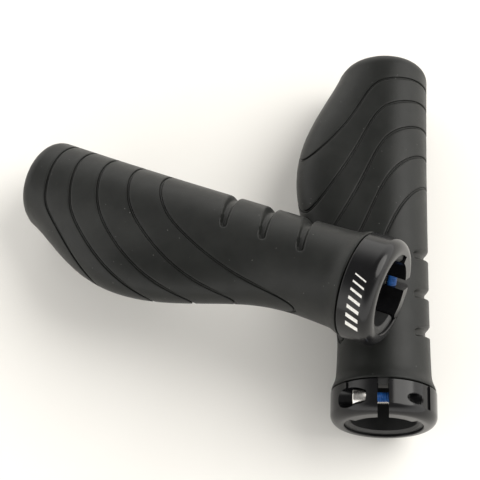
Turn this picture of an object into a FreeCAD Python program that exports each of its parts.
"""A pair of ergonomic lock-on handlebar grips, one lying across the other on a flat surface.

Lengths are in millimetres. Each grip is drawn in its own frame: x runs along the bar from the
clamp's mouth to the closed outboard end, y points to the front, where the fingers go, and z
points up on a mounted right-hand grip. Angles about the bar are measured from the front,
positive towards the top. The left grip's sleeve and core mirror the right ones. Both grips have
the same clamp, bolt and patch, which stand at a different angle on each. The two grips are then
placed as they lie, with +Z up.
"""
import FreeCAD, Part
import math
import os

V = FreeCAD.Vector
ORIGIN = V(0, 0, 0)
ALONG_BAR = V(1, 0, 0)

# --- driving dimensions of one grip ---
GRIP_LENGTH = 139.6
BAR_RADIUS = 11.1
CLAMP_WIDTH = 11.3
CLAMP_RADIUS = 17.95
CLAMP_BORE_RADIUS = 13.3
JOINT_GAP = 0.5
SLOT_WIDTH = 3.7

# rubber sleeve
TUBE_RADIUS = 15.75
END_SWELL = 0.8
END_SWELL_START = 75.0
FLARE_LONG, FLARE_LONG_LENGTH = 0.8, 12.0
FLARE_SHORT, FLARE_SHORT_LENGTH = 1.2, 2.8
WING_REACH = 17.0
WING_START, WING_PEAK, WING_END = 27.5, 89.4, 137.3
WING_RISE_POWER, WING_FALL_POWER = 0.86, 0.6
WING_SPREAD = math.radians(31.9)
END_ROUNDING = 4.5

# finger dents on the front of the sleeve
DENT_STATIONS = (30.9, 44.7, 59.2)
DENT_WIDTH = 3.9
DENT_DEPTH = 1.2
DENT_FROM, DENT_TO = -68.0, 100.0

# plastic core
CORE_WALL = 1.6
CORE_RECESS = 0.9
CORE_RING_RADIUS = 13.22
CORE_LEAD_IN = 0.8
FLANGE_RADIUS = 15.9
FLANGE_THICKNESS = 1.8
END_WALL = 2.0
RUBBER_END_WALL = 3.5
NOTCH_HALF_ANGLE = 58.0
KEY_TAB_WIDTH, KEY_TAB_LENGTH, KEY_TAB_RADIUS = 3.3, 1.5, 16.6
FIN_THICKNESS = 3.0
FIN_OUTLINE = ((50.0, 10.0), (66.0, 18.5), (88.0, 24.5), (108.0, 20.5), (124.0, 10.0))

# clamp ring
MOUTH_ROUNDING = 3.5
REAR_ROUNDING = 0.4
BORE_ROUNDING = 0.3
BOSS_RADIUS = 11.2
BOSS_HALF_ANGLE = 55.5
RECESS_DEPTH = 0.6
RECESS_FROM, RECESS_TO = -43.0, 58.6
RECESS_RIM = 3.0

# clamp bolt, an M4 socket screw, placed in the clamp
BOLT_STATION = 5.75
BOLT_HEIGHT = 13.5
THREAD_RADIUS = 1.95
THREAD_CORE_RADIUS = 1.6
HEAD_RADIUS, HEAD_HEIGHT = 2.8, 4.4
HEAD_SEAT = 5.6
BOLT_TIP = 6.4
HEX_ACROSS_FLATS, HEX_DEPTH = 3.0, 2.4
POCKET_RADIUS = 3.4
THREAD_HOLE_RADIUS = 2.02
SHANK_HOLE_RADIUS = 2.15
PATCH_HALF_LENGTH = 2.6
PATCH_RADIUS = 1.99
PATCH_CLEARANCE = 0.04
HEAD_CHAMFER = 0.35

# --- how the two grips lie ---
RIGHT_SLOT_ANGLE = -108.0
LEFT_SLOT_ANGLE = 33.0
RIGHT_MOUTH = V(56.57, -69.79, 18.05)
RIGHT_HEADING, RIGHT_DROP, RIGHT_ROLL = 90.0, 0.58, 10.9
LEFT_MOUTH = V(55.18, -36.08, 52.62)
LEFT_HEADING, LEFT_DROP, LEFT_ROLL = 156.8, 15.72, 10.5

SLEEVE_START = CLAMP_WIDTH + JOINT_GAP
CORE_RADIUS = BAR_RADIUS + CORE_WALL
CORE_END = GRIP_LENGTH - RUBBER_END_WALL
BORE_END = CORE_END - END_WALL


def tube_radius(x):
    """Radius of the sleeve's round body, which flares at the clamp and swells at the far end."""
    past = x - SLEEVE_START
    flare = FLARE_LONG * math.exp(-past / FLARE_LONG_LENGTH)
    flare += FLARE_SHORT * math.exp(-((past / FLARE_SHORT_LENGTH) ** 2))
    swell = max(0.0, (x - END_SWELL_START) / (GRIP_LENGTH - END_SWELL_START))
    return TUBE_RADIUS + flare + END_SWELL * swell**2


def wing_reach(x):
    """How far the palm wing stands out of the round body."""
    if x <= WING_START or x >= WING_END:
        return 0.0
    if x < WING_PEAK:
        along, power = (x - WING_START) / (WING_PEAK - WING_START), WING_RISE_POWER
    else:
        along, power = (WING_END - x) / (WING_END - WING_PEAK), WING_FALL_POWER
    return WING_REACH * (0.5 - 0.5 * math.cos(math.pi * along)) ** power


def skin_point(x, angle, inset=0.0):
    """A point on the sleeve's outside, at an angle in radians from the front."""
    from_rear = math.pi - abs(angle)
    radius = tube_radius(x) + wing_reach(x) * math.exp(-((from_rear / WING_SPREAD) ** 2)) - inset
    return V(x, radius * math.cos(angle), radius * math.sin(angle))


def skin_section(x, inset=0.0):
    """One closed section of the sleeve, with more points round the wing's edge."""
    steps = 20
    angles = []
    for i in range(2 * steps):
        even = math.pi * (i - steps) / steps
        angles.append(even + 0.35 * math.sin(even))
    curve = Part.BSplineCurve()
    curve.interpolate([skin_point(x, a, inset) for a in angles], PeriodicFlag=True)
    return Part.Wire([curve.toShape()])


def sleeve_body():
    """The solid outside of the sleeve, with its rounded outboard edge."""
    straight_end = GRIP_LENGTH - END_ROUNDING
    count = 16
    stations = [SLEEVE_START + 1.2 * i for i in range(4)]
    first = stations[-1] + 5.0
    stations += [first + (straight_end - first) * i / (count - 1) for i in range(count)]
    sections = [skin_section(x) for x in stations]
    for turn in (25, 50, 72, 90):
        a = math.radians(turn)
        x = straight_end + END_ROUNDING * math.sin(a)
        sections.append(skin_section(x, END_ROUNDING * (1 - math.cos(a))))
    return Part.makeLoft(sections, True, False)


def dent_cutter(station):
    """A channel round the front of the sleeve."""
    channel = (DENT_WIDTH / 2) ** 2 / (2 * DENT_DEPTH) + DENT_DEPTH / 2
    path_radius = tube_radius(station) - DENT_DEPTH + channel
    torus = Part.makeTorus(path_radius, channel, ORIGIN, V(0, 0, 1), -180, 180, DENT_TO - DENT_FROM)
    torus.rotate(ORIGIN, V(0, 0, 1), DENT_FROM)
    torus.rotate(ORIGIN, V(1, 1, 1), 120)
    torus.translate(V(station, 0, 0))
    return torus


def tube(start, end, outer, inner=0.0):
    """A round bar or tube along the grip's own axis."""
    body = Part.makeCylinder(outer, end - start, V(start, 0, 0), ALONG_BAR)
    if inner:
        body = body.cut(Part.makeCylinder(inner, end - start, V(start, 0, 0), ALONG_BAR))
    return body


def wedge(start, end, radius, from_angle, to_angle):
    """A sector of a disc along the axis, between two angles in degrees."""
    sector = Part.makeCylinder(radius, end - start, V(start, 0, 0), ALONG_BAR, to_angle - from_angle)
    found = sector.CenterOfMass
    middle = math.degrees(math.atan2(found.z, found.y))
    sector.rotate(ORIGIN, ALONG_BAR, (from_angle + to_angle) / 2 - middle)
    return sector


def core_outside(slot_angle):
    """The core as one solid lump: tube, flange, key tab and the fin that carries the wing."""
    body = tube(CORE_RECESS, SLEEVE_START, CORE_RING_RADIUS)
    notch = wedge(
        CORE_RECESS - 1,
        SLEEVE_START,
        CORE_RING_RADIUS + 1,
        slot_angle - NOTCH_HALF_ANGLE,
        slot_angle + NOTCH_HALF_ANGLE,
    )
    body = body.cut(notch.cut(tube(CORE_RECESS - 1, SLEEVE_START, BAR_RADIUS)))
    body = body.fuse(tube(SLEEVE_START, CORE_END, CORE_RADIUS))
    body = body.fuse(tube(SLEEVE_START, SLEEVE_START + FLANGE_THICKNESS, FLANGE_RADIUS))
    tab = Part.makeBox(
        KEY_TAB_LENGTH + JOINT_GAP,
        KEY_TAB_RADIUS - BAR_RADIUS - 0.5,
        KEY_TAB_WIDTH,
        V(CLAMP_WIDTH - KEY_TAB_LENGTH, BAR_RADIUS + 0.5, -KEY_TAB_WIDTH / 2),
    )
    foot = Part.makeBox(
        JOINT_GAP + FLANGE_THICKNESS,
        FLANGE_RADIUS - BAR_RADIUS - 1.0,
        KEY_TAB_WIDTH,
        V(CLAMP_WIDTH, BAR_RADIUS + 0.5, -KEY_TAB_WIDTH / 2),
    )
    tab = tab.fuse(foot)
    tab.rotate(ORIGIN, ALONG_BAR, slot_angle)
    body = body.fuse(tab)
    outline = [V(x, -y, -FIN_THICKNESS / 2) for x, y in FIN_OUTLINE]
    fin = Part.Face(Part.makePolygon(outline + outline[:1])).extrude(V(0, 0, FIN_THICKNESS))
    return body.fuse(fin).removeSplitter()


def make_core(slot_angle):
    """The core, bored for the bar, with a lead-in at the mouth."""
    bore = tube(-1, BORE_END, BAR_RADIUS)
    wide = BAR_RADIUS + CORE_LEAD_IN
    lead_in = Part.makeCone(wide, BAR_RADIUS, CORE_LEAD_IN, V(CORE_RECESS, 0, 0), ALONG_BAR)
    return core_outside(slot_angle).cut(bore).cut(lead_in)


def make_sleeve(slot_angle):
    body = sleeve_body()
    for station in DENT_STATIONS:
        body = body.cut(dent_cutter(station))
    return body.cut(core_outside(slot_angle))


def across(angle_shape):
    """Lay a shape drawn along +z, with its height along +y, onto the clamp's bolt line."""
    angle_shape.translate(V(BOLT_STATION, BOLT_HEIGHT, 0))
    return angle_shape


def bolt_cylinder(radius, start, end):
    """A cylinder on the bolt's axis. The head is on the negative side and the tip on the positive."""
    return across(Part.makeCylinder(radius, end - start, V(0, 0, start), V(0, 0, 1)))


def round_edges(shape, radius, wanted):
    edges = [edge for edge in shape.Edges if wanted(edge)]
    return shape.makeFillet(radius, edges)


def is_circle(edge, x, radius):
    curve = edge.Curve
    if curve.TypeId != "Part::GeomCircle":
        return False
    return abs(curve.Radius - radius) < 0.01 and abs(curve.Center.x - x) < 0.01


def make_clamp_ring(slot_angle):
    """The slotted ring, drawn with its slot at the front and then turned to its place.

    On the slot's side it is thicker inwards, and fills the opening in the core's ring.
    """
    ring = tube(0, CLAMP_WIDTH, CLAMP_RADIUS, CLAMP_BORE_RADIUS)
    ring = round_edges(ring, MOUTH_ROUNDING, lambda e: is_circle(e, 0, CLAMP_RADIUS))
    ring = round_edges(ring, REAR_ROUNDING, lambda e: is_circle(e, CLAMP_WIDTH, CLAMP_RADIUS))
    ring = round_edges(ring, BORE_ROUNDING, lambda e: is_circle(e, 0, CLAMP_BORE_RADIUS))
    boss = wedge(0, CLAMP_WIDTH, CLAMP_BORE_RADIUS + 0.5, -BOSS_HALF_ANGLE, BOSS_HALF_ANGLE)
    ring = ring.fuse(boss.cut(tube(-1, CLAMP_WIDTH + 1, BOSS_RADIUS))).removeSplitter()
    recess = wedge(RECESS_RIM, CLAMP_WIDTH + 1, CLAMP_RADIUS + 1, RECESS_FROM, RECESS_TO)
    ring = ring.cut(recess.cut(tube(0, CLAMP_WIDTH + 2, CLAMP_RADIUS - RECESS_DEPTH)))
    slot = Part.makeBox(
        CLAMP_WIDTH + 2, CLAMP_RADIUS, SLOT_WIDTH, V(-1, BOSS_RADIUS / 2, -SLOT_WIDTH / 2)
    )
    ring = ring.cut(slot)
    ring = ring.cut(bolt_cylinder(POCKET_RADIUS, -CLAMP_RADIUS, -HEAD_SEAT))
    ring = ring.cut(bolt_cylinder(SHANK_HOLE_RADIUS, -HEAD_SEAT - 1, 0))
    ring = ring.cut(bolt_cylinder(THREAD_HOLE_RADIUS, 0, CLAMP_RADIUS))
    ring.rotate(ORIGIN, ALONG_BAR, slot_angle)
    return ring


def make_bolt(slot_angle):
    """The screw, with its thread as a plain cylinder that is thinner under the locking patch."""
    head = bolt_cylinder(HEAD_RADIUS, -HEAD_SEAT - HEAD_HEIGHT, -HEAD_SEAT)
    top = -HEAD_SEAT - HEAD_HEIGHT
    head = head.makeChamfer(HEAD_CHAMFER, [e for e in head.Edges if abs(e.CenterOfMass.z - top) < 0.01])
    corner = HEX_ACROSS_FLATS / math.sqrt(3)
    corners = [
        V(corner * math.cos(math.radians(60 * i)), corner * math.sin(math.radians(60 * i)), top)
        for i in range(7)
    ]
    socket = Part.Face(Part.makePolygon(corners)).extrude(V(0, 0, HEX_DEPTH))
    head = head.cut(across(socket))
    shank = bolt_cylinder(THREAD_RADIUS, -HEAD_SEAT - 0.2, -PATCH_HALF_LENGTH)
    shank = shank.fuse(bolt_cylinder(THREAD_CORE_RADIUS, -PATCH_HALF_LENGTH - 0.2, PATCH_HALF_LENGTH + 0.2))
    shank = shank.fuse(bolt_cylinder(THREAD_RADIUS, PATCH_HALF_LENGTH, BOLT_TIP))
    bolt = head.fuse(shank)
    bolt.rotate(ORIGIN, ALONG_BAR, slot_angle)
    return bolt


def make_patch(slot_angle):
    """The blue locking patch that fills the thread over the clamp's slot."""
    ends = PATCH_HALF_LENGTH - PATCH_CLEARANCE
    patch = bolt_cylinder(PATCH_RADIUS, -ends, ends)
    patch = patch.cut(bolt_cylinder(THREAD_CORE_RADIUS + PATCH_CLEARANCE, -ends, ends))
    patch.rotate(ORIGIN, ALONG_BAR, slot_angle)
    return patch


def lying(mouth, heading, drop, roll):
    """Where a grip lies: its heading on the table, its far end's drop and its roll, in degrees."""
    turn = FreeCAD.Rotation(V(0, 0, 1), heading)
    tip = FreeCAD.Rotation(V(0, 1, 0), drop)
    upside_down = FreeCAD.Rotation(ALONG_BAR, 180 + roll)
    return FreeCAD.Placement(mouth, turn.multiply(tip).multiply(upside_down))


SIDES = {
    "right": (RIGHT_SLOT_ANGLE, lying(RIGHT_MOUTH, RIGHT_HEADING, RIGHT_DROP, RIGHT_ROLL)),
    "left": (LEFT_SLOT_ANGLE, lying(LEFT_MOUTH, LEFT_HEADING, LEFT_DROP, LEFT_ROLL)),
}
HANDED = {"rubber_sleeve": make_sleeve, "core": make_core}
ALIKE = {"clamp_ring": make_clamp_ring, "clamp_bolt": make_bolt, "thread_lock_patch": make_patch}


def build():
    os.makedirs("parts", exist_ok=True)
    for side, (slot_angle, place) in SIDES.items():
        shapes = {name: make(slot_angle) for name, make in ALIKE.items()}
        for name, make in HANDED.items():
            if side == "right":
                shapes[name] = make(slot_angle)
            else:
                shapes[name] = make(-slot_angle).mirror(ORIGIN, V(0, 0, 1))
        for name, shape in shapes.items():
            shape.Placement = place.multiply(shape.Placement)
            solid = shape.Solids[0]
            print(side, name, len(shape.Solids), solid.isValid(), round(solid.Volume, 1))
            solid.exportStep(f"parts/{side}_{name}.step")


build()
